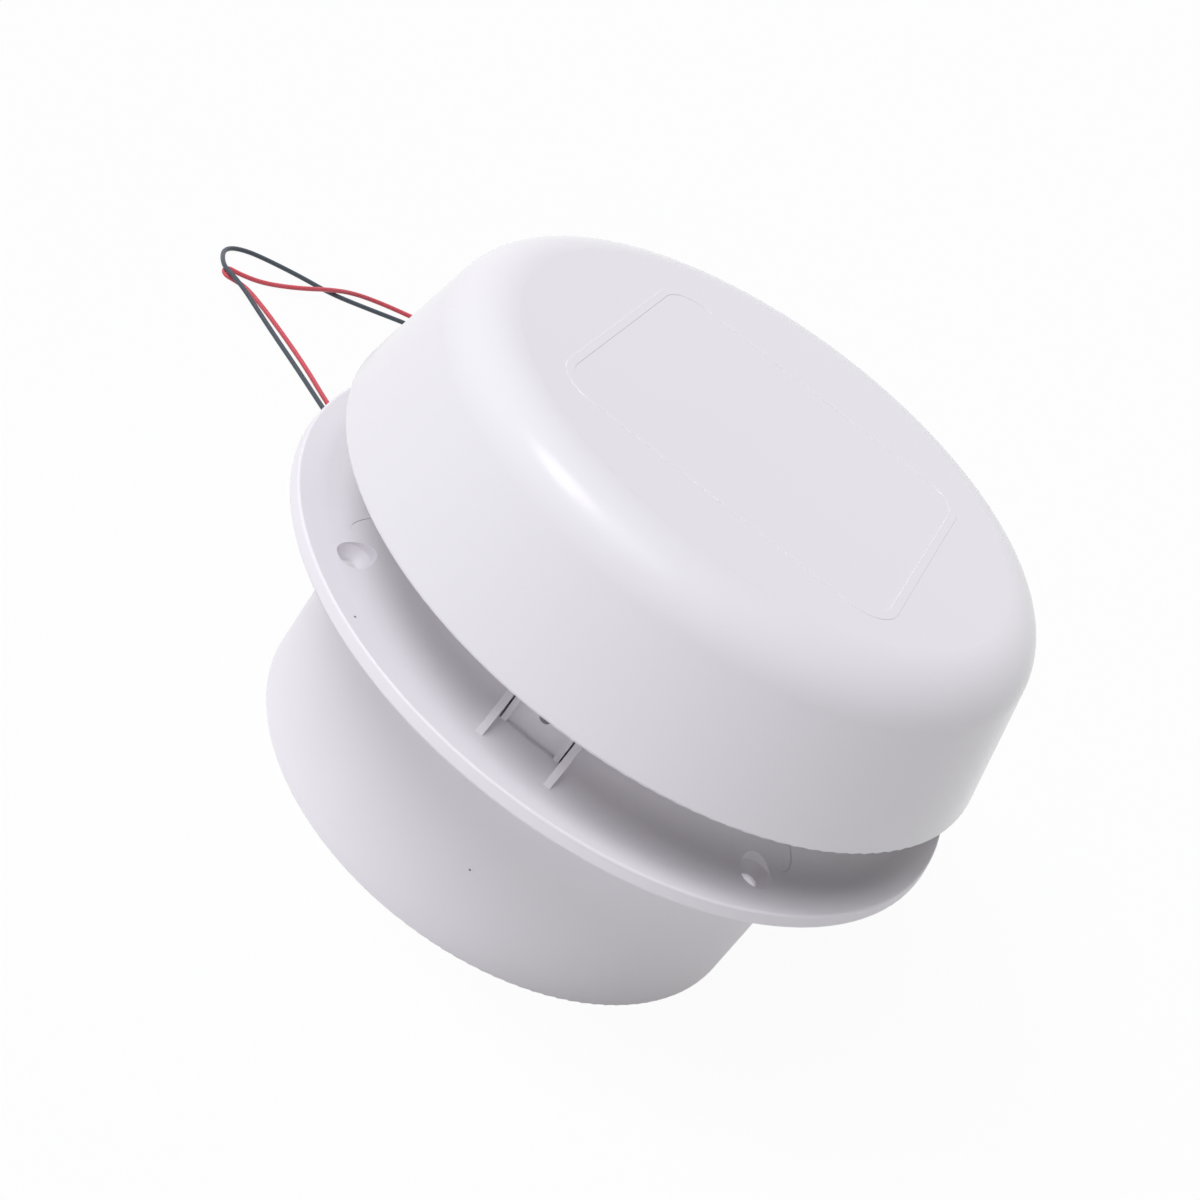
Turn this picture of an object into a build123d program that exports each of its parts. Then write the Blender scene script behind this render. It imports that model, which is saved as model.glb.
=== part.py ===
from build123d import *
import math
import os

# Camper roof vent fan: a round cap clipped over a flanged pipe that holds a small axial fan.
# Millimetres, +Z up, origin at the centre of the pipe's lower end.

# Pipe, and the flange that is bonded round it
pipe_radius = 79.2
pipe_wall = 2.4
pipe_length = 66.7
pipe_edge_round = 0.6
upstand_height = 31.2
bond_gap = 0.1
collar_wall = 0.8
flange_width = 25.8
flange_thickness = 4.1
flange_dish = 0.4
flange_land = 10.0
rim_draft = 0.8
rim_round = 0.8

# Roof screw holes, and the curved mould marks beside them
side_count = 4
diagonal_angle = 45.0
screw_from_pipe = 11.8
screw_hole_radius = 2.4
screw_sink_radius = 5.0
screw_sink_depth = 2.8
mark_from_pipe = 7.0
mark_angle = 38.9
mark_radius = 4.2
mark_width = 0.4
mark_depth = 0.3

# Cap
cap_gap = 20.4
cap_height = 47.8
cap_rim_inset = 3.55
cap_lean = 12.2
cap_edge_round = 16.0
cap_wall = 2.5
cap_rim_round = 0.7
panel_width = 103.0
panel_depth = 95.0
panel_shift = (0.4, -3.0)
panel_corner = 12.0
panel_ridge_width = 2.5
panel_ridge_height = 0.14
panel_ridge_root = 1.0
panel_ridge_slope = 0.1

# Clip legs of the cap, the ribs beside them and their catches in the pipe
leg_wall_gap = 3.0
leg_web = 1.8
leg_lip_depth = 1.5
leg_lip = 1.6
leg_width = 17.8
leg_slot_width = 3.4
leg_slot_rise = 5.5
leg_slot_gap = 1.0
rib_gap = 0.5
rib_thickness = 2.0
rib_foot_inset = 3.2
rib_top_reach = 4.3
rib_height = 17.6
catch_height = 20.0
catch_width = 10.0
catch_opening = 5.4
catch_clearance = 0.3
hook_bite = 1.8
hook_nose = 1.2

# Fan mounting lugs, frame and guard
lug_height_from_end = 22.0
lug_height = 16.0
lug_length = 8.3
lug_width = 12.0
fit_gap = 0.3
fan_screw_inset = 4.3
screw_thread_radius = 1.45
screw_pilot_gap = 0.05
screw_clear_radius = 1.7
screw_head_radius = 2.9
screw_head_height = 2.2
screw_shank = 10.0
screw_drive_width = 0.8
screw_drive_depth = 1.1
frame_thickness = 3.0
frame_ring_width = 8.5
arm_width = 8.0
motor_plate_radius = 19.0
guard_thickness = 3.0
guard_disc_radius = 20.0
guard_ring_width = 1.8
guard_ring_count = 5
guard_bar_count = 8

# Motor: bearing tube, bearings, shaft, stator and board
bearing_radius = 4.0
bearing_width = 4.0
bearing_shield_inset = 0.25
bearing_race = 0.9
shaft_radius = 1.48
shaft_running_gap = 0.02
tube_radius = 5.6
tube_fit = 0.02
tube_shoulder_radius = 3.3
tube_flange_radius = 7.5
tube_flange_thickness = 1.5
tube_length = 21.0
lower_bearing_inset = 1.0
board_standoff = 1.2
board_standoff_radius = 8.0
board_radius = 20.0
board_thickness = 1.6
stator_radius = 20.9
stator_height = 9.0
stator_lift = 8.0
stator_hub_wall = 3.4
tooth_width = 6.0
shoe_depth = 2.0
shoe_gap = 5.0
coil_fit = 0.1
coil_build = 3.6
coil_end_build = 3.0
coil_start_gap = 1.4
coil_end_gap = 1.5
driver_chip = (4.0, 5.0, 1.2)
driver_chip_radius = 13.5
hall_sensor = (2.0, 4.0, 1.3)
hall_sensor_radius = 16.5
capacitor_size = (1.9, 1.5)
capacitor_place_radius = 14.0
resistor = (1.2, 2.2, 0.7)
resistor_count = 3
resistor_place_radius = 15.0

# Rotor: magnet, steel cup, impeller, clip and washer
air_gap = 0.5
magnet_thickness = 1.95
magnet_height = 15.0
magnet_lift = 1.5
cup_wall = 1.2
cup_fit = 0.05
cup_lift = 4.5
cup_height = 21.4
collar_radius = 3.5
collar_gap = 1.0
washer_radius = 2.6
washer_thickness = 0.7
clip_radius = 2.8
clip_thickness = 0.5
clip_groove_depth = 0.3
clip_opening = 2.2
shaft_below_clip = 1.0
hub_wall = 2.35
hub_skirt = 0.7
hub_round = 3.0
blade_count = 7
blade_tip_gap = 4.6
blade_lift = 16.0
blade_root_chord = 25.0
blade_tip_chord = 40.0
blade_root_pitch = 45.0
blade_tip_pitch = 28.0
blade_camber = 2.4
blade_thickness = 2.2
blade_edge = 0.4

# Wires, their clips and the grommet
wire_radius = 0.85
wire_pitch = 2.2
wire_hole_gap = 0.05
lead_angle = 135.0
lead_start_radius = 13.5
lead_drop = 2.4
lead_ring_gap = 3.5
lead_hole_radius = 2.4
saddle_length = 4.0
saddle_wall = 1.1
saddle_floor = 0.5
saddles_before_bend = (34.5, 14.5)
grommet_height = 8.5
grommet_neck_radius = 4.4
grommet_flange_radius = 6.4
grommet_flange = 1.6
grommet_hole_gap = 0.1
grommet_wall_gap = 0.3
lead_past_grommet = 0.8
tip_radius = 0.45
tip_length = 7.0

# Route of each loose wire from the grommet: along the floor, round a loop and back behind the pipe
black_route = [
    (-63.0, 61.45, 8.4),
    (-70.6, 67.6, 7.2),
    (-81.0, 74.6, 4.3),
    (-94.2, 82.2, 1.6),
    (-112.0, 92.8, 0.85),
    (-132.1, 104.1, 0.85),
    (-149.0, 114.1, 0.85),
    (-165.1, 123.0, 0.9),
    (-176.5, 128.1, 2.0),
    (-185.2, 132.0, 2.9),
    (-193.2, 135.3, 2.9),
    (-196.4, 136.1, 2.8),
    (-200.2, 140.8, 2.2),
    (-203.6, 147.8, 1.3),
    (-203.4, 154.1, 0.9),
    (-199.3, 159.4, 0.85),
    (-192.9, 163.4, 0.85),
    (-180.9, 169.1, 0.85),
    (-168.6, 173.3, 0.85),
    (-156.1, 182.2, 0.85),
    (-142.6, 192.4, 0.85),
    (-129.0, 201.2, 0.85),
    (-112.5, 205.5, 0.85),
    (-95.0, 203.0, 0.85),
    (-79.5, 193.5, 0.85),
    (-69.0, 178.0, 0.85),
    (-65.0, 159.5, 0.85),
    (-68.5, 141.5, 0.85),
    (-77.5, 125.7, 0.85),
]
red_route = [
    (-61.4, 63.0, 8.4),
    (-68.9, 69.6, 7.2),
    (-79.6, 77.2, 4.3),
    (-93.2, 85.4, 1.6),
    (-111.6, 96.6, 0.85),
    (-132.9, 108.5, 0.85),
    (-148.7, 119.0, 0.85),
    (-163.9, 127.3, 0.85),
    (-177.2, 133.9, 0.85),
    (-186.1, 137.2, 0.85),
    (-190.8, 136.4, 0.85),
    (-194.1, 135.2, 0.85),
    (-196.5, 136.8, 0.85),
    (-196.8, 140.5, 0.85),
    (-192.6, 142.0, 0.85),
    (-186.4, 146.2, 0.85),
    (-180.8, 152.3, 1.4),
    (-174.1, 159.5, 3.2),
    (-169.2, 170.6, 3.3),
    (-164.4, 182.2, 2.0),
    (-156.9, 191.4, 0.85),
    (-145.7, 198.4, 0.85),
    (-131.0, 206.5, 0.85),
    (-113.0, 211.8, 0.85),
    (-93.0, 211.0, 0.85),
    (-74.0, 202.5, 0.85),
    (-60.0, 187.0, 0.85),
    (-53.0, 167.0, 0.85),
    (-55.0, 147.5, 0.85),
    (-62.0, 130.9, 0.85),
]

# Heights and radii that follow from the sizes above
pipe_bore = pipe_radius - pipe_wall
flange_radius = pipe_radius + flange_width
rim_z = pipe_length + flange_thickness
plate_z = rim_z - flange_dish
collar_inner = pipe_radius + bond_gap
collar_outer = pipe_radius + collar_wall
cove_start = flange_radius - flange_land
cove_radius = cove_start - collar_outer
cove_top_z = plate_z + cove_radius
screw_circle_radius = pipe_radius + screw_from_pipe
mark_circle_radius = pipe_radius + mark_from_pipe
upstand_top_z = rim_z + upstand_height
cap_rim_z = rim_z + cap_gap
cap_top_z = cap_rim_z + cap_height
cap_rim_radius = flange_radius - cap_rim_inset
cap_taper = cap_lean / cap_height
leg_inner = pipe_radius + leg_wall_gap
leg_outer = leg_inner + leg_web + leg_lip_depth
rib_inner = leg_width / 2 + rib_gap
rib_foot_radius = cove_start - rib_foot_inset
catch_z = rim_z + catch_height
hook_top_z = catch_z + catch_opening - catch_clearance
lug_inner = pipe_bore - lug_length
lug_top_z = lug_height_from_end + lug_height
fan_screw_radius = pipe_bore - fan_screw_inset
ring_outer = pipe_bore - fit_gap
ring_inner = ring_outer - frame_ring_width
guard_ring_pitch = (ring_inner - guard_disc_radius) / (guard_ring_count + 1)
frame_top_z = lug_top_z + frame_thickness
guard_z = lug_height_from_end - guard_thickness
tube_top_z = frame_top_z + tube_length
tube_bore = bearing_radius + tube_fit
lower_bearing_z = lug_top_z + lower_bearing_inset
upper_bearing_z = tube_top_z - lower_bearing_inset - bearing_width
bearing_bore = shaft_radius + shaft_running_gap
board_z = frame_top_z + board_standoff
stator_z = frame_top_z + stator_lift
stator_bore = tube_radius + cup_fit
stator_hub_radius = stator_bore + stator_hub_wall
magnet_inner = stator_radius + air_gap
magnet_outer = magnet_inner + magnet_thickness
cup_inner = magnet_outer + cup_fit
cup_outer = cup_inner + cup_wall
cup_z = frame_top_z + cup_lift
cup_top_z = cup_z + cup_height
collar_z = upper_bearing_z + bearing_width + collar_gap
clip_z = lower_bearing_z - fit_gap - clip_thickness
shaft_end_z = clip_z - shaft_below_clip
hub_bore = cup_outer + cup_fit
hub_radius = hub_bore + hub_wall
hub_z = cup_z - hub_skirt
hub_top_z = cup_top_z + hub_wall
blade_tip_radius = pipe_bore - blade_tip_gap
blade_z = frame_top_z + blade_lift
lead_run_z = lug_top_z - lead_drop
lead_down_radius = ring_inner - lead_ring_gap
grommet_inner = pipe_bore - grommet_wall_gap
grommet_outer = pipe_radius + grommet_wall_gap / 2
lead_end_radius = grommet_outer + grommet_flange + lead_past_grommet

os.makedirs("parts", exist_ok=True)


def finish(builder, name):
    """Label one finished piece and write it to its own file."""
    builder.part.label = name
    export_step(builder.part, f"parts/{name}.step")


def radial_plane(angle, offset=0.0):
    """Upright plane through the axis at an angle: local x points outwards and local y up."""
    turn = math.radians(angle)
    outwards = Vector(math.cos(turn), math.sin(turn), 0)
    sideways = Vector(-math.sin(turn), math.cos(turn), 0)
    return Plane(origin=sideways * offset, x_dir=outwards, z_dir=-sideways)


def cove_height(radius):
    """Height of the flange's upper face at one radius."""
    inside = max(cove_start - radius, 0.0)
    return cove_top_z - math.sqrt(cove_radius**2 - inside**2)


leg_seat_z = cove_height(leg_outer)


def flange_section(skin):
    """Half section of the flange and its collar, with the upper face lowered by a skin."""
    arc_radius = cove_radius + skin
    with BuildSketch(Plane.XZ) as section:
        with BuildLine():
            Polyline(
                (collar_outer - skin, cove_top_z),
                (collar_inner, cove_top_z),
                (collar_inner, pipe_length),
                (flange_radius, pipe_length),
                (flange_radius - rim_draft, rim_z - skin),
                (cove_start, plate_z - skin),
            )
            ThreePointArc(
                (cove_start, plate_z - skin),
                (
                    cove_start - arc_radius * math.sin(math.pi / 4),
                    cove_top_z - arc_radius * math.cos(math.pi / 4),
                ),
                (collar_outer - skin, cove_top_z),
            )
        make_face()
        fillet(section.vertices().sort_by(Axis.X)[-2:], rim_round)
    return section.sketch


def dome_section(inset, foot_z, foot_round):
    """Half section of the cap's dome, drawn at an even inset from its outer skin."""
    side_inset = inset * math.hypot(1, cap_taper)
    top_z = cap_top_z - inset
    foot_radius = cap_rim_radius - side_inset - cap_taper * (foot_z - cap_rim_z)
    top_radius = cap_rim_radius - side_inset - cap_taper * (top_z - cap_rim_z)
    with BuildSketch(Plane.XZ) as section:
        with BuildLine():
            Polyline((0, top_z), (0, foot_z), (foot_radius, foot_z), (top_radius, top_z), close=True)
        make_face()
        fillet(section.vertices().sort_by(Axis.X)[-2], cap_edge_round - inset)
        if foot_round:
            fillet(section.vertices().sort_by(Axis.X)[-1], foot_round)
    return section.sketch


def leg_sections(height):
    """The channel sections of the cap's clip legs at one height, open side outwards."""
    with BuildSketch(Plane.XY.offset(height)) as sections:
        with PolarLocations(leg_outer, side_count):
            Rectangle(leg_outer - leg_inner, leg_width, align=(Align.MAX, Align.CENTER))
        with PolarLocations(leg_outer, side_count):
            Rectangle(
                leg_lip_depth,
                leg_width - 2 * leg_lip,
                align=(Align.MAX, Align.CENTER),
                mode=Mode.SUBTRACT,
            )
    return sections.sketch


def corner_radii(points):
    """The largest arc that each corner of a wire's route has room for."""
    radii = []
    for before, corner, after in zip(points, points[1:], points[2:]):
        run_in = Vector(corner) - Vector(before)
        run_out = Vector(after) - Vector(corner)
        half_turn = math.radians(run_in.get_angle(run_out)) / 2
        radii.append(0.45 * min(run_in.length, run_out.length) / math.tan(half_turn))
    return radii


def wire_tube(points):
    """A round wire along straight runs joined by tangent arcs."""
    with BuildPart() as wire:
        with BuildLine() as route:
            FilletPolyline(*points, radius=corner_radii(points))
        with BuildSketch(route.line ^ 0):
            Circle(wire_radius)
        sweep()
    return wire


def screw_group(head_z, upwards):
    """Four identical pan-head screws with a slot, on the fan's screw circle."""
    along = 1 if upwards else -1
    with BuildPart() as screws:
        with BuildSketch(Plane.XY.offset(head_z)) as heads:
            with PolarLocations(fan_screw_radius, side_count, start_angle=diagonal_angle):
                Circle(screw_head_radius)
        extrude(amount=-along * screw_head_height)
        with BuildSketch(Plane.XY.offset(head_z)) as shanks:
            with PolarLocations(fan_screw_radius, side_count, start_angle=diagonal_angle):
                Circle(screw_thread_radius)
        extrude(amount=along * screw_shank)
        with BuildSketch(Plane.XY.offset(head_z - along * screw_head_height)) as slots:
            with PolarLocations(fan_screw_radius, side_count, start_angle=diagonal_angle):
                Rectangle(3 * screw_head_radius, screw_drive_width)
        extrude(amount=along * screw_drive_depth, mode=Mode.SUBTRACT)
    return screws


def bearing(height):
    """A small shielded ball bearing: two races with shields set back between them."""
    with BuildPart() as race:
        with BuildSketch(Plane.XY.offset(height)) as ring:
            Circle(bearing_radius)
            Circle(bearing_bore, mode=Mode.SUBTRACT)
        extrude(amount=bearing_width)
        for face_z, inwards in ((height, 1), (height + bearing_width, -1)):
            with BuildSketch(Plane.XY.offset(face_z)) as shield:
                Circle(bearing_radius - bearing_race)
                Circle(bearing_bore + bearing_race, mode=Mode.SUBTRACT)
            extrude(amount=inwards * bearing_shield_inset, mode=Mode.SUBTRACT)
    return race


# Curved mould marks: thin half rings, open towards the screw holes, just under the flange's upper face
with BuildPart() as mould_marks:
    with BuildSketch(Plane.XY.offset(pipe_length)) as mark_arcs:
        for start, screw_side in ((mark_angle, Align.MIN), (-mark_angle, Align.MAX)):
            with PolarLocations(mark_circle_radius, 2, start_angle=start):
                Circle(mark_radius)
            with PolarLocations(mark_circle_radius, 2, start_angle=start):
                Circle(mark_radius - mark_width, mode=Mode.SUBTRACT)
            with PolarLocations(mark_circle_radius, 2, start_angle=start):
                Rectangle(
                    2 * mark_radius,
                    mark_radius,
                    align=(Align.CENTER, screw_side),
                    mode=Mode.SUBTRACT,
                )
    extrude(amount=cove_top_z - pipe_length)
    revolve(flange_section(mark_depth), axis=Axis.Z, mode=Mode.SUBTRACT)

# Flange: a plate with a coved top and a collar round the pipe, ribs beside the clip legs and screw holes
with BuildPart() as flange:
    revolve(flange_section(0.0), axis=Axis.Z)
    with BuildSketch(Plane.XY.offset(leg_seat_z)) as leg_pockets:
        with PolarLocations(pipe_bore, side_count):
            Rectangle(leg_outer + fit_gap - pipe_bore, 2 * rib_inner, align=(Align.MIN, Align.CENTER))
    extrude(amount=cove_radius, mode=Mode.SUBTRACT)
    for side in range(side_count):
        for offset in (-rib_inner, rib_inner + rib_thickness):
            with BuildSketch(radial_plane(side * 360 / side_count, offset)) as rib_section:
                with BuildLine():
                    Polyline(
                        (pipe_bore, plate_z - flange_thickness / 2),
                        (rib_foot_radius, plate_z - flange_thickness / 2),
                        (rib_foot_radius, cove_height(rib_foot_radius)),
                        (pipe_radius + rib_top_reach, plate_z + rib_height),
                        (pipe_bore, plate_z + rib_height),
                        close=True,
                    )
                make_face()
            extrude(amount=rib_thickness)
    with BuildSketch(Plane.XY.offset(pipe_length)) as pipe_passage:
        Circle(collar_inner)
    extrude(amount=upstand_height, mode=Mode.SUBTRACT)
    add(mould_marks.part, mode=Mode.SUBTRACT)
    with BuildSketch(Plane.XY.offset(plate_z)) as screw_clearances:
        with PolarLocations(screw_circle_radius, side_count, start_angle=diagonal_angle):
            Circle(screw_sink_radius)
    extrude(amount=cove_radius, mode=Mode.SUBTRACT)
    with Locations(Plane.XY.offset(plate_z)):
        with PolarLocations(screw_circle_radius, side_count, start_angle=diagonal_angle):
            Cone(
                screw_hole_radius,
                screw_sink_radius,
                screw_sink_depth,
                align=(Align.CENTER, Align.CENTER, Align.MAX),
                mode=Mode.SUBTRACT,
            )
    with BuildSketch(Plane.XY.offset(pipe_length)) as screw_holes:
        with PolarLocations(screw_circle_radius, side_count, start_angle=diagonal_angle):
            Circle(screw_hole_radius)
    extrude(amount=flange_thickness, mode=Mode.SUBTRACT)
finish(flange, "flange")

# Pipe: a tube through the flange with the fan's lugs inside, catch windows and a hole for the wires
lead_plane = radial_plane(lead_angle)
with BuildPart() as pipe:
    with BuildSketch() as pipe_section:
        Circle(pipe_radius)
        Circle(pipe_bore, mode=Mode.SUBTRACT)
    extrude(amount=upstand_top_z)
    fillet(pipe.edges().group_by(Axis.Z)[0], pipe_edge_round)
    fillet(pipe.edges().group_by(Axis.Z)[-1], pipe_edge_round)
    with BuildSketch(Plane.XY.offset(catch_z)) as catch_windows:
        with PolarLocations(pipe_radius, side_count):
            Rectangle(4 * pipe_wall, catch_width)
    extrude(amount=catch_opening, mode=Mode.SUBTRACT)
    with BuildSketch(Plane.XY.offset(lug_height_from_end)) as lug_sections:
        with PolarLocations(lug_inner, side_count, start_angle=diagonal_angle):
            Rectangle(lug_length + pipe_wall / 2, lug_width, align=(Align.MIN, Align.CENTER))
    extrude(amount=lug_height)
    with BuildSketch(Plane.XY.offset(lug_height_from_end)) as lug_pilots:
        with PolarLocations(fan_screw_radius, side_count, start_angle=diagonal_angle):
            Circle(screw_thread_radius + screw_pilot_gap)
    extrude(amount=lug_height, mode=Mode.SUBTRACT)
    with BuildSketch(Plane(origin=(0, 0, grommet_height), z_dir=lead_plane.x_dir)) as wire_hole:
        Circle(grommet_neck_radius + grommet_hole_gap)
    extrude(amount=pipe_radius + pipe_wall, mode=Mode.SUBTRACT)
finish(pipe, "pipe")

# Cap: a hollow dome with four channel-shaped clip legs and a fine raised outline on its top
with BuildPart() as cap_hollow:
    revolve(dome_section(cap_wall, cap_rim_z - cap_wall, 0.0), axis=Axis.Z)
    extrude(leg_sections(cap_rim_z - 2 * cap_wall), amount=2 * cap_height, mode=Mode.SUBTRACT)

with BuildPart() as cap:
    revolve(dome_section(0.0, cap_rim_z, cap_rim_round), axis=Axis.Z)
    add(cap_hollow.part, mode=Mode.SUBTRACT)
    with BuildSketch(Plane.XY.offset(cap_top_z - panel_ridge_root)) as panel_outline:
        with Locations(panel_shift):
            RectangleRounded(panel_width, panel_depth, panel_corner)
            RectangleRounded(
                panel_width - 2 * panel_ridge_width,
                panel_depth - 2 * panel_ridge_width,
                panel_corner - panel_ridge_width,
                mode=Mode.SUBTRACT,
            )
    extrude(amount=panel_ridge_root + panel_ridge_height)
    chamfer(cap.edges().group_by(Axis.Z)[-1], panel_ridge_slope)
    extrude(leg_sections(leg_seat_z), amount=cap_rim_z + 2 * cap_wall - leg_seat_z)
    slot_low_z = leg_seat_z + leg_slot_rise
    slot_high_z = catch_z - leg_slot_gap
    for side in range(side_count):
        outwards = radial_plane(side * 360 / side_count).x_dir
        with BuildSketch(Plane(origin=(0, 0, 0), x_dir=(0, 0, 1), z_dir=outwards)) as spring_slot:
            with Locations(((slot_low_z + slot_high_z) / 2, 0)):
                SlotOverall(slot_high_z - slot_low_z, leg_slot_width)
        extrude(amount=leg_outer, mode=Mode.SUBTRACT)
        with BuildSketch(radial_plane(side * 360 / side_count)) as hook_section:
            with BuildLine():
                Polyline(
                    (leg_inner + leg_web / 2, hook_top_z),
                    (pipe_radius - hook_bite, hook_top_z),
                    (pipe_radius - hook_bite, hook_top_z - hook_nose),
                    (leg_inner + leg_web / 2, catch_z),
                    close=True,
                )
            make_face()
        extrude(amount=catch_width / 2 - catch_clearance, both=True)
finish(cap, "cap")

# Fan frame: a ring on the lugs, four arms and the motor plate
with BuildPart() as fan_frame:
    with BuildSketch(Plane.XY.offset(lug_top_z)) as frame_section:
        Circle(ring_outer)
        Circle(ring_inner, mode=Mode.SUBTRACT)
        with PolarLocations(0, side_count, start_angle=diagonal_angle):
            Rectangle(ring_inner + frame_ring_width / 2, arm_width, align=(Align.MIN, Align.CENTER))
        Circle(motor_plate_radius)
        Circle(tube_radius + tube_fit, mode=Mode.SUBTRACT)
        with PolarLocations(fan_screw_radius, side_count, start_angle=diagonal_angle):
            Circle(screw_clear_radius, mode=Mode.SUBTRACT)
        with PolarLocations(lead_start_radius, 1, start_angle=lead_angle):
            Circle(lead_hole_radius, mode=Mode.SUBTRACT)
    extrude(amount=frame_thickness)
    with BuildSketch(Plane.XY.offset(frame_top_z)) as standoff:
        Circle(board_standoff_radius)
        Circle(tube_radius + tube_fit, mode=Mode.SUBTRACT)
    extrude(amount=board_standoff)
finish(fan_frame, "fan_frame")

# Finger guard across the lower end of the pipe
with BuildPart() as fan_guard:
    with BuildSketch(Plane.XY.offset(guard_z)) as guard_section:
        Circle(ring_outer)
        Circle(ring_inner, mode=Mode.SUBTRACT)
        for ring in range(1, guard_ring_count + 1):
            ring_radius = guard_disc_radius + ring * guard_ring_pitch
            with BuildSketch(mode=Mode.PRIVATE) as grille_ring:
                Circle(ring_radius + guard_ring_width / 2)
                Circle(ring_radius - guard_ring_width / 2, mode=Mode.SUBTRACT)
            add(grille_ring.sketch)
        with PolarLocations(0, guard_bar_count, start_angle=diagonal_angle / 2):
            Rectangle(ring_inner + frame_ring_width / 2, guard_ring_width, align=(Align.MIN, Align.CENTER))
        Circle(guard_disc_radius)
        with PolarLocations(fan_screw_radius, side_count, start_angle=diagonal_angle):
            Circle(screw_clear_radius, mode=Mode.SUBTRACT)
    extrude(amount=guard_thickness)
finish(fan_guard, "fan_guard")

frame_screws = screw_group(frame_top_z, upwards=False)
finish(frame_screws, "frame_screws")

guard_screws = screw_group(guard_z, upwards=True)
finish(guard_screws, "guard_screws")

# Bearing tube, flanged under the motor plate, with a shoulder for each bearing
with BuildPart() as bearing_tube:
    with BuildSketch(Plane.XY.offset(lug_top_z - tube_flange_thickness)) as tube_flange:
        Circle(tube_flange_radius)
    extrude(amount=tube_flange_thickness)
    with BuildSketch(Plane.XY.offset(lug_top_z)) as tube_section:
        Circle(tube_radius)
    extrude(amount=tube_top_z - lug_top_z)
    with BuildSketch(Plane.XY.offset(lug_top_z - tube_flange_thickness)) as lower_seat:
        Circle(tube_bore)
    extrude(
        amount=lower_bearing_z + bearing_width - lug_top_z + tube_flange_thickness,
        mode=Mode.SUBTRACT,
    )
    with BuildSketch(Plane.XY.offset(upper_bearing_z)) as upper_seat:
        Circle(tube_bore)
    extrude(amount=tube_top_z - upper_bearing_z, mode=Mode.SUBTRACT)
    with BuildSketch(Plane.XY.offset(lower_bearing_z)) as shoulder_bore:
        Circle(tube_shoulder_radius)
    extrude(amount=upper_bearing_z - lower_bearing_z, mode=Mode.SUBTRACT)
finish(bearing_tube, "bearing_tube")

lower_bearing = bearing(lower_bearing_z)
finish(lower_bearing, "lower_bearing")

upper_bearing = bearing(upper_bearing_z)
finish(upper_bearing, "upper_bearing")

# Stator: a hub, four teeth and their curved shoes
with BuildPart() as stator_core:
    with BuildSketch(Plane.XY.offset(stator_z)) as lamination:
        Circle(stator_radius)
        Circle(stator_radius - shoe_depth, mode=Mode.SUBTRACT)
        with PolarLocations(0, side_count, start_angle=diagonal_angle):
            Rectangle(2 * stator_radius, shoe_gap, align=(Align.MIN, Align.CENTER), mode=Mode.SUBTRACT)
        with PolarLocations(0, side_count):
            Rectangle(stator_radius - shoe_depth / 2, tooth_width, align=(Align.MIN, Align.CENTER))
        Circle(stator_hub_radius)
        Circle(stator_bore, mode=Mode.SUBTRACT)
    extrude(amount=stator_height)
finish(stator_core, "stator_core")

# Coils: one wound block round each tooth
coil_inner = stator_hub_radius + coil_start_gap
coil_length = stator_radius - shoe_depth - coil_end_gap - coil_inner
with BuildPart() as stator_coils:
    with BuildSketch(Plane.XY.offset(stator_z - coil_end_build)) as coil_blocks:
        with PolarLocations(coil_inner, side_count):
            Rectangle(coil_length, tooth_width + 2 * coil_build, align=(Align.MIN, Align.CENTER))
    extrude(amount=stator_height + 2 * coil_end_build)
    fillet(stator_coils.edges().filter_by(Axis.Z, reverse=True).group_by(Axis.Z)[-1], coil_end_build / 3)
    with BuildSketch(Plane.XY.offset(stator_z - coil_fit)) as coil_windows:
        with PolarLocations(coil_inner, side_count):
            Rectangle(coil_length, tooth_width + 2 * coil_fit, align=(Align.MIN, Align.CENTER))
    extrude(amount=stator_height + 2 * coil_fit, mode=Mode.SUBTRACT)
finish(stator_coils, "stator_coils")

# Driver board on its standoff, and the parts soldered to it
with BuildPart() as circuit_board:
    with BuildSketch(Plane.XY.offset(board_z)) as board_outline:
        Circle(board_radius)
        Circle(tube_radius + fit_gap, mode=Mode.SUBTRACT)
    extrude(amount=board_thickness)
finish(circuit_board, "circuit_board")

on_board = (Align.CENTER, Align.CENTER, Align.MIN)
with BuildPart() as board_parts:
    with Locations(Plane.XY.offset(board_z + board_thickness)):
        with PolarLocations(driver_chip_radius, 1, start_angle=diagonal_angle):
            Box(*driver_chip, align=on_board)
        with PolarLocations(hall_sensor_radius, 1, start_angle=2 * diagonal_angle):
            Box(*hall_sensor, align=on_board)
        with PolarLocations(capacitor_place_radius, 2, start_angle=-diagonal_angle):
            Cylinder(*capacitor_size, align=on_board)
        with PolarLocations(
            resistor_place_radius,
            resistor_count,
            start_angle=-2 * diagonal_angle,
            angular_range=2 * diagonal_angle,
        ):
            Box(*resistor, align=on_board)
finish(board_parts, "board_parts")

# Rotor: steel cup with a collar for the shaft, magnet ring, shaft, clip and washer
with BuildPart() as rotor_cup:
    with BuildSketch(Plane.XY.offset(cup_z)) as cup_outline:
        Circle(cup_outer)
    extrude(amount=cup_height)
    with BuildSketch(Plane.XY.offset(cup_z)) as cup_hollow:
        Circle(cup_inner)
    extrude(amount=cup_height - cup_wall, mode=Mode.SUBTRACT)
    with BuildSketch(Plane.XY.offset(collar_z)) as collar:
        Circle(collar_radius)
    extrude(amount=cup_top_z - cup_wall - collar_z)
    with BuildSketch(Plane.XY.offset(collar_z)) as shaft_hole:
        Circle(bearing_bore)
    extrude(amount=cup_top_z - collar_z, mode=Mode.SUBTRACT)
finish(rotor_cup, "rotor_cup")

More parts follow.
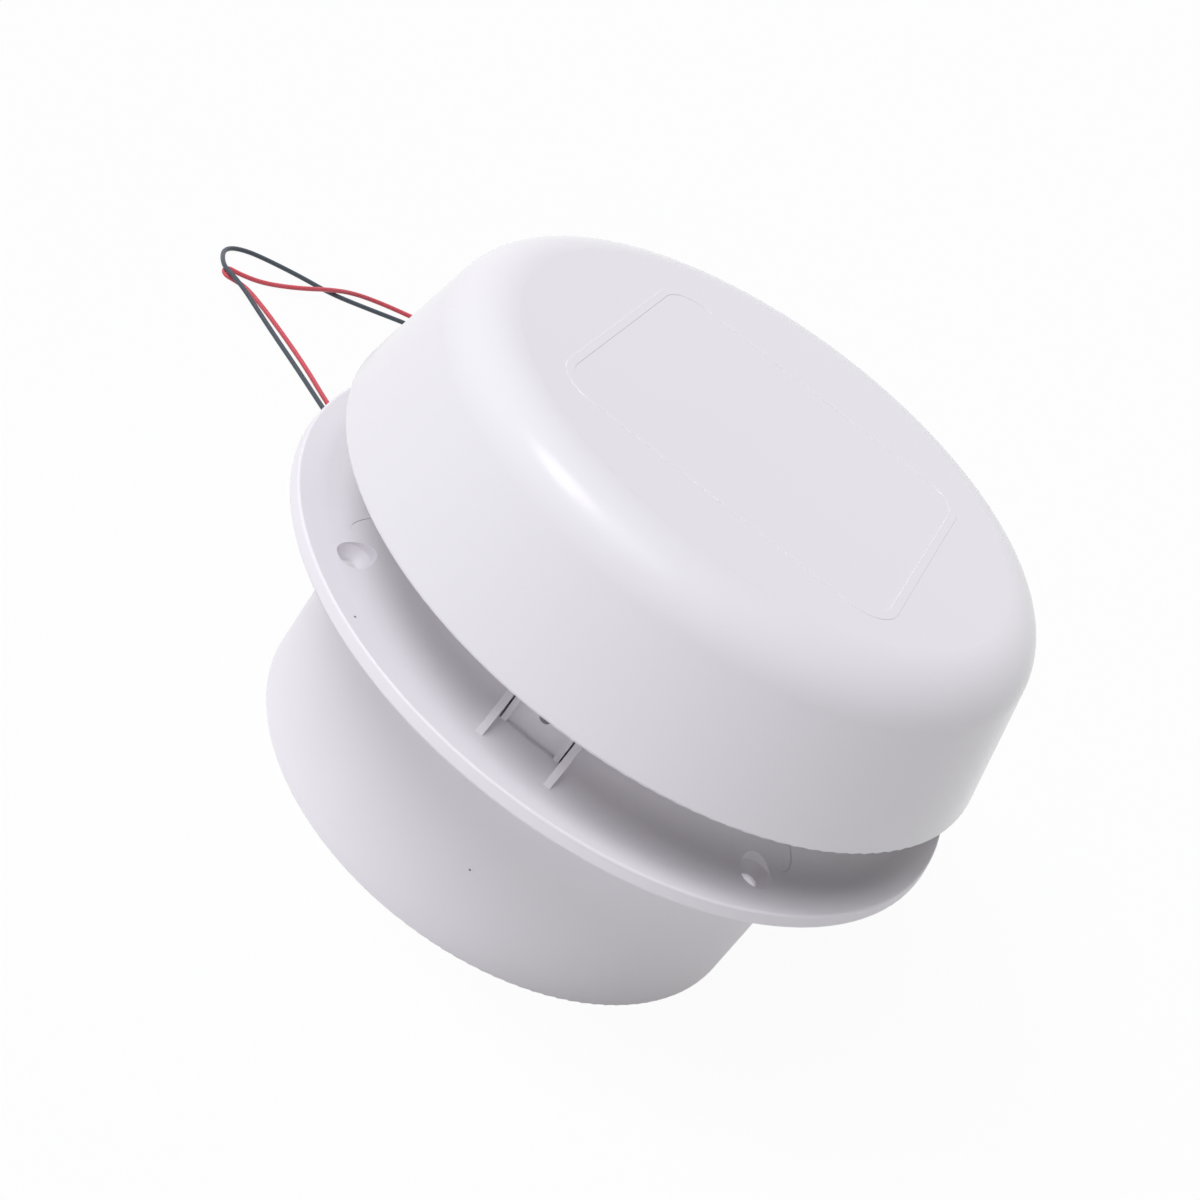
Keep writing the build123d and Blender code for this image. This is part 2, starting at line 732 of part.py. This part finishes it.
with BuildPart() as rotor_magnet:
    with BuildSketch(Plane.XY.offset(cup_z + magnet_lift)) as magnet_ring:
        Circle(magnet_outer)
        Circle(magnet_inner, mode=Mode.SUBTRACT)
    extrude(amount=magnet_height)
finish(rotor_magnet, "rotor_magnet")

with BuildPart() as rotor_shaft:
    with BuildSketch(Plane.XY.offset(shaft_end_z)) as shaft_section:
        Circle(shaft_radius)
    extrude(amount=cup_top_z - shaft_end_z)
    with BuildSketch(Plane.XY.offset(clip_z)) as clip_groove:
        Circle(2 * shaft_radius)
        Circle(shaft_radius - clip_groove_depth, mode=Mode.SUBTRACT)
    extrude(amount=clip_thickness, mode=Mode.SUBTRACT)
finish(rotor_shaft, "rotor_shaft")

with BuildPart() as shaft_clip:
    with BuildSketch(Plane.XY.offset(clip_z)) as clip_outline:
        Circle(clip_radius)
        Circle(shaft_radius - clip_groove_depth + shaft_running_gap, mode=Mode.SUBTRACT)
        Rectangle(2 * clip_radius, clip_opening, align=(Align.MIN, Align.CENTER), mode=Mode.SUBTRACT)
    extrude(amount=clip_thickness)
finish(shaft_clip, "shaft_clip")

with BuildPart() as preload_washer:
    with BuildSketch(Plane.XY.offset(collar_z - washer_thickness)) as washer_outline:
        Circle(washer_radius)
        Circle(bearing_bore, mode=Mode.SUBTRACT)
    extrude(amount=washer_thickness)
finish(preload_washer, "preload_washer")


def blade_plane(radius, pitch):
    """Plane across a blade at one radius: local x along its chord, local z outwards."""
    lean = math.radians(pitch)
    return Plane(origin=(radius, 0, blade_z), x_dir=(0, math.cos(lean), math.sin(lean)), z_dir=(1, 0, 0))


# One fan blade, twisted and cambered from root to tip
with BuildPart() as blade:
    for radius, chord, pitch in (
        (hub_radius - hub_wall / 2, blade_root_chord, blade_root_pitch),
        (blade_tip_radius, blade_tip_chord, blade_tip_pitch),
    ):
        with BuildSketch(blade_plane(radius, pitch)) as blade_section:
            with BuildLine():
                ThreePointArc(
                    (-chord / 2, blade_edge),
                    (0, blade_camber + blade_thickness / 2),
                    (chord / 2, blade_edge),
                )
                Line((chord / 2, blade_edge), (chord / 2, -blade_edge))
                ThreePointArc(
                    (chord / 2, -blade_edge),
                    (0, blade_camber - blade_thickness / 2),
                    (-chord / 2, -blade_edge),
                )
                Line((-chord / 2, -blade_edge), (-chord / 2, blade_edge))
            make_face()
    loft()

# Impeller: a hub over the steel cup with its ring of blades
with BuildPart() as impeller:
    with BuildSketch(Plane.XY.offset(hub_z)) as hub_outline:
        Circle(hub_radius)
    extrude(amount=hub_top_z - hub_z)
    fillet(impeller.edges().group_by(Axis.Z)[-1], hub_round)
    with PolarLocations(0, blade_count):
        add(blade.part)
    with BuildSketch(Plane.XY.offset(hub_z)) as hub_hollow:
        Circle(hub_bore)
    extrude(amount=cup_top_z - hub_z, mode=Mode.SUBTRACT)
finish(impeller, "impeller")

# Grommet in the pipe wall, with a hole for each wire
grommet_plane = Plane(
    origin=lead_plane.x_dir * (grommet_inner - grommet_flange) + Vector(0, 0, grommet_height),
    x_dir=lead_plane.z_dir,
    z_dir=lead_plane.x_dir,
)
with BuildPart() as wire_grommet:
    with BuildSketch(grommet_plane) as inner_flange:
        Circle(grommet_flange_radius)
    extrude(amount=grommet_flange)
    with BuildSketch(grommet_plane) as neck:
        Circle(grommet_neck_radius)
    extrude(amount=grommet_outer + grommet_flange - grommet_inner + grommet_flange)
    with BuildSketch(grommet_plane.offset(grommet_outer - grommet_inner + grommet_flange)) as outer_flange:
        Circle(grommet_flange_radius)
    extrude(amount=grommet_flange)
    with BuildSketch(grommet_plane) as wire_holes:
        with GridLocations(wire_pitch, 0, 2, 1):
            Circle(wire_radius + wire_hole_gap)
    extrude(amount=pipe_radius, mode=Mode.SUBTRACT)
finish(wire_grommet, "wire_grommet")

# Saddle clips that hold the two leads under one arm of the frame
saddle_inner_width = wire_pitch + 2 * (wire_radius + wire_hole_gap)
saddle_depth = lug_top_z - lead_run_z + wire_radius + wire_hole_gap
with BuildPart() as lead_clips:
    for reach in saddles_before_bend:
        saddle_radius = lead_down_radius - reach
        with BuildSketch(Plane.XY.offset(lug_top_z)) as saddle_outline:
            with PolarLocations(saddle_radius, 1, start_angle=lead_angle):
                Rectangle(saddle_length, saddle_inner_width + 2 * saddle_wall)
        extrude(amount=-saddle_depth - saddle_floor)
        with BuildSketch(Plane.XY.offset(lug_top_z)) as saddle_slot:
            with PolarLocations(saddle_radius, 1, start_angle=lead_angle):
                Rectangle(2 * saddle_length, saddle_inner_width)
        extrude(amount=-saddle_depth, mode=Mode.SUBTRACT)
finish(lead_clips, "lead_clips")

# Wires: a lead inside the pipe, the loose wire outside it and its bare tinned end
for colour, side, route in (("red", -1, red_route), ("black", 1, black_route)):
    sideways = radial_plane(lead_angle, side * wire_pitch / 2)
    lead_points = [
        sideways.from_local_coords(point)
        for point in (
            (lead_start_radius, board_z),
            (lead_start_radius, lead_run_z),
            (lead_down_radius, lead_run_z),
            (lead_down_radius, grommet_height),
            (lead_end_radius, grommet_height),
        )
    ]
    lead = wire_tube(lead_points)
    finish(lead, f"{colour}_lead")

    loose_points = [lead_points[-1], *route]
    loose = wire_tube(loose_points)
    finish(loose, f"{colour}_wire")

    last_run = Vector(route[-1]) - Vector(route[-2])
    with BuildPart() as tip:
        with BuildSketch(Plane(origin=route[-1], z_dir=last_run)) as tip_section:
            Circle(tip_radius)
        extrude(amount=tip_length)
    finish(tip, f"{colour}_wire_tip")

    radii = corner_radii(loose_points)
    length = loose.part.volume / (math.pi * wire_radius**2)
    print(colour, "wire", round(length, 1), "long, bend radii", [round(radius, 1) for radius in radii])
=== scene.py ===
import math

import bpy
from mathutils import Matrix, Vector


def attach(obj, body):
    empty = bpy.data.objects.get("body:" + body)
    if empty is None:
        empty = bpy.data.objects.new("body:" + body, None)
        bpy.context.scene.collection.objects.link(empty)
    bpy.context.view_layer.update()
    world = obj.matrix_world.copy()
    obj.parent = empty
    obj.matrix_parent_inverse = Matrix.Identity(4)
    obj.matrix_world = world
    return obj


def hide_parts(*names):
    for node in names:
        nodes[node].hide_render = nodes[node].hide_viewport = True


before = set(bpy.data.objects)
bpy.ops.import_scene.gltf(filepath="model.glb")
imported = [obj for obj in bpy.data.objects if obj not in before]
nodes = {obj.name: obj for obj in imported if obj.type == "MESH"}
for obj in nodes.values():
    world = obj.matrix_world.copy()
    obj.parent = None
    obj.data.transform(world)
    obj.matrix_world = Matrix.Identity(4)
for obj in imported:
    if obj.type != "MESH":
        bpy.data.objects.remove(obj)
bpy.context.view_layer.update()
scene = bpy.context.scene
scene.view_settings.view_transform = "Standard"

# Camera, as the photograph was taken: metres and degrees
VIEW_AZIMUTH = 3.4
VIEW_ELEVATION = 29.604
VIEW_ROLL = 36.56
VIEW_DISTANCE = 0.600
VIEW_TARGET = Vector((-0.01147, -0.00068, 0.06864))
VIEW_LENS = 64.64
VIEW_SENSOR = 36.0

# Surround: its brightness at the horizon and overhead, and the height where it has faded
HORIZON_LEVEL = 0.57
SKY_LEVEL = 0.17
SKY_HEIGHT = 0.6

# Lamps: direction, share of a full white level on a surface that faces it, spread in degrees,
# and whether it shows in reflections
LAMPS = {
    "window": ((-0.52, -0.26, 0.81), 0.12, 22.0, True),
    "side": ((-0.70, -0.12, 0.71), 0.17, 45.0, False),
    "overhead": ((-0.33, -0.37, 0.87), 0.54, 40.0, False),
}
LAMP_COLOUR = (0.98, 0.99, 1.03)

# Floor: half its side, its colour, and the share of plain white in what is seen of it
FLOOR_REACH = 12.0
FLOOR_COLOUR = (0.78, 0.78, 0.78, 1.0)
FLOOR_GLOW = 0.95

# Fine structure of the materials
GRAINS_PER_BLOTCH = 12
BLOTCH_DETAIL = 3.0
FINE_DETAIL = 2.0
SPECK_CORE = 0.5
WAVE_RATE = 20

# Wires: metres and degrees, with the routes from the grommet in millimetres
MM_PER_METRE = 1000
WIRE_ROUND_STEPS = 6
WIRE_RUN_STEPS = 12
WIRE_RADIUS = 0.00085
WIRE_START_HEIGHT = 0.0085
WIRE_EXIT_RADIUS = 0.0818
WIRE_PITCH = 0.0022
WIRE_ANGLE = 135.0
BLACK_ROUTE = [
    (-63.0, 61.45, 8.4),
    (-70.6, 67.6, 7.2),
    (-81.0, 74.6, 4.3),
    (-94.2, 82.2, 1.6),
    (-112.0, 92.8, 0.85),
    (-132.1, 104.1, 0.85),
    (-149.0, 114.1, 0.85),
    (-165.1, 123.0, 0.9),
    (-176.5, 128.1, 2.0),
    (-185.2, 132.0, 2.9),
    (-193.2, 135.3, 2.9),
    (-196.4, 136.1, 2.8),
    (-200.2, 140.8, 2.2),
    (-203.6, 147.8, 1.3),
    (-203.4, 154.1, 0.9),
    (-199.3, 159.4, 0.85),
    (-192.9, 163.4, 0.85),
    (-180.9, 169.1, 0.85),
    (-168.6, 173.3, 0.85),
    (-156.1, 182.2, 0.85),
    (-142.6, 192.4, 0.85),
    (-129.0, 201.2, 0.85),
    (-112.5, 205.5, 0.85),
    (-95.0, 203.0, 0.85),
    (-79.5, 193.5, 0.85),
    (-69.0, 178.0, 0.85),
    (-65.0, 159.5, 0.85),
    (-68.5, 141.5, 0.85),
    (-77.5, 125.7, 0.85),
]
RED_ROUTE = [
    (-61.4, 63.0, 8.4),
    (-68.9, 69.6, 7.2),
    (-79.6, 77.2, 4.3),
    (-93.2, 85.4, 1.6),
    (-111.6, 96.6, 0.85),
    (-132.9, 108.5, 0.85),
    (-148.7, 119.0, 0.85),
    (-163.9, 127.3, 0.85),
    (-177.2, 133.9, 0.85),
    (-186.1, 137.2, 0.85),
    (-190.8, 136.4, 0.85),
    (-194.1, 135.2, 0.85),
    (-196.5, 136.8, 0.85),
    (-196.8, 140.5, 0.85),
    (-192.6, 142.0, 0.85),
    (-186.4, 146.2, 0.85),
    (-180.8, 152.3, 1.4),
    (-174.1, 159.5, 3.2),
    (-169.2, 170.6, 3.3),
    (-164.4, 182.2, 2.0),
    (-156.9, 191.4, 0.85),
    (-145.7, 198.4, 0.85),
    (-131.0, 206.5, 0.85),
    (-113.0, 211.8, 0.85),
    (-93.0, 211.0, 0.85),
    (-74.0, 202.5, 0.85),
    (-60.0, 187.0, 0.85),
    (-53.0, 167.0, 0.85),
    (-55.0, 147.5, 0.85),
    (-62.0, 130.9, 0.85),
]


def add_camera():
    """The photograph's camera: it looks down on the object and is rolled about its own axis."""
    turn = math.radians(VIEW_AZIMUTH)
    rise = math.radians(VIEW_ELEVATION)
    roll = math.radians(VIEW_ROLL)
    back = Vector((math.sin(turn) * math.cos(rise), -math.cos(turn) * math.cos(rise), math.sin(rise)))
    right = Vector((math.cos(turn), math.sin(turn), 0.0))
    up = back.cross(right)
    rolled_right = right * math.cos(roll) + up * math.sin(roll)
    rolled_up = up * math.cos(roll) - right * math.sin(roll)
    data = bpy.data.cameras.new("photo_camera")
    data.lens = VIEW_LENS
    data.sensor_width = VIEW_SENSOR
    camera = bpy.data.objects.new("photo_camera", data)
    axes = Matrix((rolled_right, rolled_up, back)).transposed()
    camera.matrix_world = Matrix.Translation(VIEW_TARGET + back * VIEW_DISTANCE) @ axes.to_4x4()
    scene.collection.objects.link(camera)
    scene.camera = camera


def add_lamp(name, direction, level, spread, reflected):
    """An even soft light from one direction."""
    data = bpy.data.lights.new(name, "SUN")
    data.energy = level * math.pi
    data.angle = math.radians(spread)
    data.color = LAMP_COLOUR
    lamp = bpy.data.objects.new(name, data)
    lamp.rotation_mode = "QUATERNION"
    lamp.rotation_quaternion = Vector(direction).to_track_quat("Z", "Y")
    lamp.visible_glossy = reflected
    scene.collection.objects.link(lamp)


def seen_ray(tree):
    """A value that is 1 for rays that see the backdrop directly, in a reflection or through glass."""
    path = tree.nodes.new("ShaderNodeLightPath")
    total = path.outputs["Is Camera Ray"]
    for name in ("Is Glossy Ray", "Is Transmission Ray"):
        add = tree.nodes.new("ShaderNodeMath")
        add.operation = "ADD"
        add.use_clamp = True
        tree.links.new(total, add.inputs[0])
        tree.links.new(path.outputs[name], add.inputs[1])
        total = add.outputs[0]
    return total


def add_world():
    """A surround that shows as plain white and lights as a soft fill, mostly from the sides."""
    world = bpy.data.worlds.new("studio")
    scene.world = world
    world.use_nodes = True
    tree = world.node_tree
    background = tree.nodes["Background"]
    background.inputs["Color"].default_value = (1.0, 1.0, 1.0, 1.0)
    place = tree.nodes.new("ShaderNodeTexCoord")
    parts = tree.nodes.new("ShaderNodeSeparateXYZ")
    tree.links.new(place.outputs["Generated"], parts.inputs["Vector"])
    fill = tree.nodes.new("ShaderNodeMapRange")
    fill.inputs["From Max"].default_value = SKY_HEIGHT
    fill.inputs["To Min"].default_value = HORIZON_LEVEL
    fill.inputs["To Max"].default_value = SKY_LEVEL
    tree.links.new(parts.outputs["Z"], fill.inputs["Value"])
    strength = tree.nodes.new("ShaderNodeMapRange")
    strength.inputs["To Max"].default_value = 1.0
    tree.links.new(fill.outputs["Result"], strength.inputs["To Min"])
    tree.links.new(seen_ray(tree), strength.inputs["Value"])
    tree.links.new(strength.outputs["Result"], background.inputs["Strength"])


def add_floor():
    """A white floor that keeps a faint shadow."""
    mesh = bpy.data.meshes.new("floor")
    signs = ((-1, -1), (1, -1), (1, 1), (-1, 1))
    corners = [(x * FLOOR_REACH, y * FLOOR_REACH, 0.0) for x, y in signs]
    mesh.from_pydata(corners, [], [(0, 1, 2, 3)])
    floor = bpy.data.objects.new("floor", mesh)
    scene.collection.objects.link(floor)
    material = bpy.data.materials.new("floor_white")
    material.use_nodes = True
    tree = material.node_tree
    tree.nodes.clear()
    matt = tree.nodes.new("ShaderNodeBsdfDiffuse")
    matt.inputs["Color"].default_value = FLOOR_COLOUR
    glow = tree.nodes.new("ShaderNodeEmission")
    mix = tree.nodes.new("ShaderNodeMixShader")
    share = tree.nodes.new("ShaderNodeMath")
    share.operation = "MULTIPLY"
    share.inputs[1].default_value = FLOOR_GLOW
    output = tree.nodes.new("ShaderNodeOutputMaterial")
    tree.links.new(seen_ray(tree), share.inputs[0])
    tree.links.new(share.outputs[0], mix.inputs["Fac"])
    tree.links.new(matt.outputs["BSDF"], mix.inputs[1])
    tree.links.new(glow.outputs["Emission"], mix.inputs[2])
    tree.links.new(mix.outputs["Shader"], output.inputs["Surface"])
    mesh.materials.append(material)


def srgb(red, green, blue):
    """A colour given as 0 to 255 screen values, as linear light."""
    values = []
    for value in (red, green, blue):
        share = value / 255
        values.append(share / 12.92 if share <= 0.04045 else ((share + 0.055) / 1.055) ** 2.4)
    return (*values, 1.0)


def darker(colour, share):
    """A colour at a share of its brightness."""
    return (*(value * share for value in colour[:3]), 1.0)


def surface(
    name, colour, roughness, metallic=0.0, shade=0.96, grain=400.0, gloss_change=0.05, bump=0.00002
):
    """A material whose colour, gloss and fine relief vary a little with noise at its own scale."""
    material = bpy.data.materials.new(name)
    material.use_nodes = True
    tree = material.node_tree
    shader = tree.nodes["Principled BSDF"]
    shader.inputs["Metallic"].default_value = metallic
    place = tree.nodes.new("ShaderNodeTexCoord")
    blotch = tree.nodes.new("ShaderNodeTexNoise")
    blotch.inputs["Scale"].default_value = grain / GRAINS_PER_BLOTCH
    blotch.inputs["Detail"].default_value = BLOTCH_DETAIL
    tree.links.new(place.outputs["Object"], blotch.inputs["Vector"])
    tint = tree.nodes.new("ShaderNodeMix")
    tint.data_type = "RGBA"
    tint.inputs["A"].default_value = darker(colour, shade)
    tint.inputs["B"].default_value = colour
    tree.links.new(blotch.outputs["Fac"], tint.inputs["Factor"])
    tree.links.new(tint.outputs["Result"], shader.inputs["Base Color"])
    fine = tree.nodes.new("ShaderNodeTexNoise")
    fine.inputs["Scale"].default_value = grain
    fine.inputs["Detail"].default_value = FINE_DETAIL
    tree.links.new(place.outputs["Object"], fine.inputs["Vector"])
    gloss = tree.nodes.new("ShaderNodeMapRange")
    gloss.inputs["To Min"].default_value = roughness - gloss_change
    gloss.inputs["To Max"].default_value = roughness + gloss_change
    tree.links.new(blotch.outputs["Fac"], gloss.inputs["Value"])
    tree.links.new(gloss.outputs["Result"], shader.inputs["Roughness"])
    relief = tree.nodes.new("ShaderNodeBump")
    relief.inputs["Distance"].default_value = bump
    tree.links.new(fine.outputs["Fac"], relief.inputs["Height"])
    tree.links.new(relief.outputs["Normal"], shader.inputs["Normal"])
    return material


def add_specks(material, specks, colour):
    """Small dark specks of dirt on one surface, each a place and a radius."""
    tree = material.node_tree
    shader = tree.nodes["Principled BSDF"]
    place = tree.nodes.new("ShaderNodeTexCoord")
    source = shader.inputs["Base Color"].links[0].from_socket
    for centre, radius in specks:
        reach = tree.nodes.new("ShaderNodeVectorMath")
        reach.operation = "DISTANCE"
        reach.inputs[1].default_value = centre
        tree.links.new(place.outputs["Object"], reach.inputs[0])
        cover = tree.nodes.new("ShaderNodeMapRange")
        cover.interpolation_type = "SMOOTHSTEP"
        cover.inputs["From Min"].default_value = radius
        cover.inputs["From Max"].default_value = radius * SPECK_CORE
        tree.links.new(reach.outputs["Value"], cover.inputs["Value"])
        mix = tree.nodes.new("ShaderNodeMix")
        mix.data_type = "RGBA"
        mix.inputs["B"].default_value = colour
        tree.links.new(cover.outputs["Result"], mix.inputs["Factor"])
        tree.links.new(source, mix.inputs["A"])
        source = mix.outputs["Result"]
    tree.links.new(source, shader.inputs["Base Color"])


def add_lines(material, axis, spacing, depth):
    """Fine regular lines, such as stacked sheets, wound wire or turned marks, as relief."""
    tree = material.node_tree
    relief = next(node for node in tree.nodes if node.type == "BUMP")
    place = tree.nodes.new("ShaderNodeTexCoord")
    wave = tree.nodes.new("ShaderNodeTexWave")
    wave.wave_type = "BANDS"
    wave.bands_direction = axis
    wave.inputs["Scale"].default_value = 2 * math.pi / (WAVE_RATE * spacing)
    tree.links.new(place.outputs["Object"], wave.inputs["Vector"])
    relief.inputs["Distance"].default_value = depth
    tree.links.new(wave.outputs["Fac"], relief.inputs["Height"])


def dress(material, *names):
    """Give CAD nodes a material."""
    for name in names:
        mesh = nodes[name].data
        mesh.materials.clear()
        mesh.materials.append(material)


def add_wire(colour, side, route, material):
    """One loose wire on its smooth line, with its tinned end."""
    turn = math.radians(WIRE_ANGLE)
    outwards = Vector((math.cos(turn), math.sin(turn), 0.0))
    sideways = Vector((-math.sin(turn), math.cos(turn), 0.0))
    start = outwards * WIRE_EXIT_RADIUS + sideways * side * WIRE_PITCH / 2
    start.z = WIRE_START_HEIGHT
    points = [start] + [Vector(point) / MM_PER_METRE for point in route]
    data = bpy.data.curves.new(f"{colour}_loose_wire", "CURVE")
    data.dimensions = "3D"
    data.bevel_depth = WIRE_RADIUS
    data.bevel_resolution = WIRE_ROUND_STEPS
    data.resolution_u = WIRE_RUN_STEPS
    data.use_fill_caps = True
    spline = data.splines.new("NURBS")
    spline.points.add(len(points) - 1)
    for point, place in zip(spline.points, points):
        point.co = (*place, 1.0)
    spline.order_u = 3
    spline.use_endpoint_u = True
    data.materials.append(material)
    wire = bpy.data.objects.new(f"{colour}_loose_wire", data)
    scene.collection.objects.link(wire)
    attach(wire, "housing")
    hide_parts(f"{colour}_wire")


# Colours, and the specks of dirt on the base, each a place and a radius
CAP_WHITE = srgb(235, 232, 236)
# The base's white is a little lighter than the cap's: painted light that brightens its flange and
# pipe
BASE_WHITE = srgb(240, 236, 241)
CHARCOAL = srgb(46, 46, 49)
RED = srgb(212, 82, 94)
BLACK = srgb(66, 74, 84)
SPECK = srgb(70, 62, 60)
SPECKS = [((-0.0522, -0.0857, 0.07055), 0.00045), ((0.0076, -0.0788, 0.0269), 0.0004)]

# Camera, surround, floor and lamps
add_camera()
add_world()
add_floor()
for lamp_name, lamp_values in LAMPS.items():
    add_lamp(lamp_name, *lamp_values)

# Loose wires
red_insulation = surface("red_insulation", RED, 0.38, grain=900.0)
black_insulation = surface("black_insulation", BLACK, 0.38, grain=900.0)
add_wire("red", -1, RED_ROUTE, red_insulation)
add_wire("black", 1, BLACK_ROUTE, black_insulation)

# Materials
cap_plastic = surface(
    "cap_plastic", CAP_WHITE, 0.18, shade=0.985, grain=260.0, gloss_change=0.01, bump=0.000004
)
base_plastic = surface("base_plastic", BASE_WHITE, 0.42, shade=0.98, grain=300.0, gloss_change=0.03)
dark_plastic = surface("dark_plastic", CHARCOAL, 0.48, shade=0.85, grain=500.0)
zinc = surface("zinc_steel", srgb(196, 197, 192), 0.34, metallic=1.0, shade=0.9, grain=900.0)
brass = surface("brass_tube", srgb(206, 174, 108), 0.3, metallic=1.0, shade=0.9, grain=700.0)
add_lines(brass, "Z", 0.0003, 0.00001)
bearing_steel = surface(
    "bearing_steel", srgb(205, 206, 208), 0.18, metallic=1.0, shade=0.95, grain=900.0
)
core_steel = surface("core_steel", srgb(120, 121, 124), 0.45, metallic=1.0, shade=0.85, grain=700.0)
add_lines(core_steel, "Z", 0.0005, 0.00004)
cup_steel = surface("cup_steel", srgb(150, 151, 154), 0.38, metallic=1.0, shade=0.9, grain=700.0)
ferrite = surface("ferrite", srgb(58, 56, 54), 0.7, shade=0.85, grain=800.0)
copper = surface("copper_winding", srgb(178, 96, 52), 0.32, metallic=1.0, shade=0.85, grain=600.0)
add_lines(copper, "Z", 0.0006, 0.00015)
board = surface("board", srgb(38, 96, 58), 0.4, shade=0.8, grain=900.0)
packages = surface("board_parts", srgb(50, 50, 52), 0.5, shade=0.85, grain=900.0)
rubber = surface("grommet_rubber", srgb(44, 44, 46), 0.7, shade=0.85, grain=900.0, bump=0.00004)
tinned = surface(
    "tinned_wire", srgb(206, 207, 210), 0.3, metallic=1.0, shade=0.85, grain=1500.0, bump=0.0001
)

# The solids in their materials
add_specks(base_plastic, SPECKS, SPECK)
dress(cap_plastic, "cap")
dress(base_plastic, "flange", "pipe", "fan_guard")
dress(dark_plastic, "fan_frame", "impeller", "lead_clips")
dress(zinc, "frame_screws", "guard_screws")
dress(brass, "bearing_tube")
dress(bearing_steel, "lower_bearing", "upper_bearing", "rotor_shaft", "shaft_clip", "preload_washer")
dress(core_steel, "stator_core")
dress(cup_steel, "rotor_cup")
dress(ferrite, "rotor_magnet")
dress(copper, "stator_coils")
dress(board, "circuit_board")
dress(packages, "board_parts")
dress(rubber, "wire_grommet")
dress(red_insulation, "red_lead")
dress(black_insulation, "black_lead")
dress(tinned, "red_wire_tip", "black_wire_tip")
